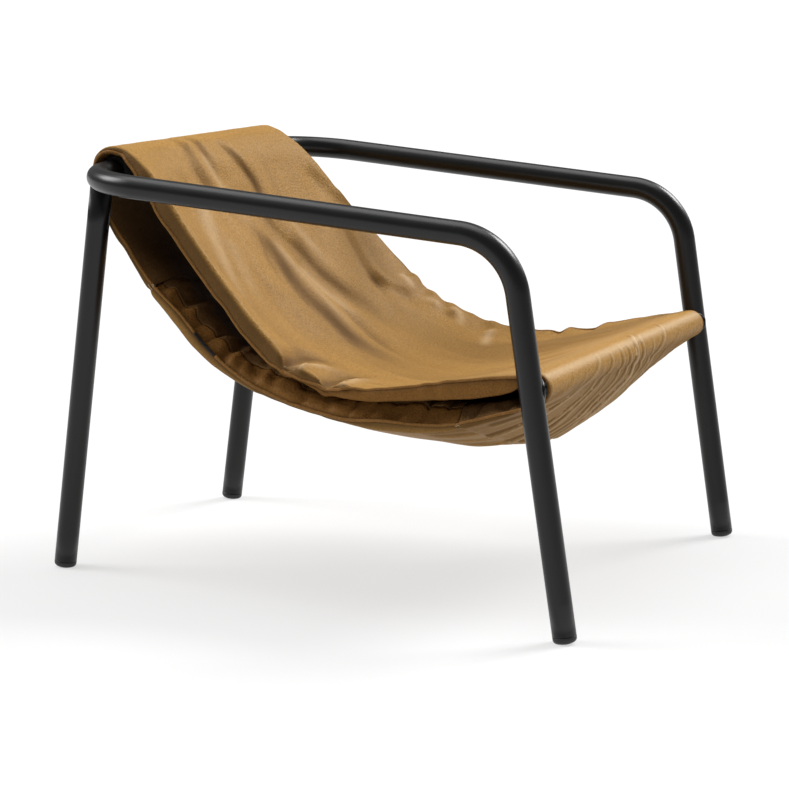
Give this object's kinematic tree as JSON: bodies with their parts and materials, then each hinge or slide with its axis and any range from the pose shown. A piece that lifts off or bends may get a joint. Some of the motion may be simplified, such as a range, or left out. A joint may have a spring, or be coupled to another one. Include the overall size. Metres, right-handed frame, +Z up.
{
  "type": "lounge chair",
  "caption": "Low lounge chair: a padded leather sling hung as a closed loop between the rear bar and the front crossbar of a bent steel tube frame.",
  "frame": {"origin": "on the floor, midway between the four feet from side to side and from front to back", "axes": "+Z up, the front of the chair faces -Y, the sitter's right is -X"},
  "size_m": [0.7072, 0.836, 0.6115],
  "materials": {
    "frame_paint": "satin black powder coat with a very fine texture",
    "glide_nylon": "matte black nylon",
    "sleeve_foam": "matte black closed-cell foam",
    "sling_leather": "semi-gloss camel leather with a fine grain",
    "edge_leather": "semi-gloss camel leather, folded and stitched",
    "sling_lining": "soft brown split leather",
    "quilt_wadding": "soft white polyester wadding",
    "zip_tape": "black woven tape with small moulded teeth"
  },
  "bodies": {
    "root": {"frame_hoop": "frame_paint", "front_crossbar": "frame_paint", "rear_bar_sleeve": "sleeve_foam", "rear_leg_right": "frame_paint", "front_foot_glide_right": "glide_nylon", "rear_foot_glide_right": "glide_nylon", "rear_leg_left": "frame_paint", "front_foot_glide_left": "glide_nylon", "rear_foot_glide_left": "glide_nylon", "seat_leather": "sling_leather", "seat_wadding": "quilt_wadding", "seat_lining": "sling_lining", "under_leather": "sling_leather", "under_wadding": "quilt_wadding", "under_lining": "sling_lining", "seat_edge_band_right": "edge_leather", "under_edge_band_right": "edge_leather", "seat_piping_right": "edge_leather", "under_piping_right": "edge_leather", "seat_edge_band_left": "edge_leather", "under_edge_band_left": "edge_leather", "seat_piping_left": "edge_leather", "under_piping_left": "edge_leather", "under_edge_zip": "zip_tape"}
  },
  "joints": []
}
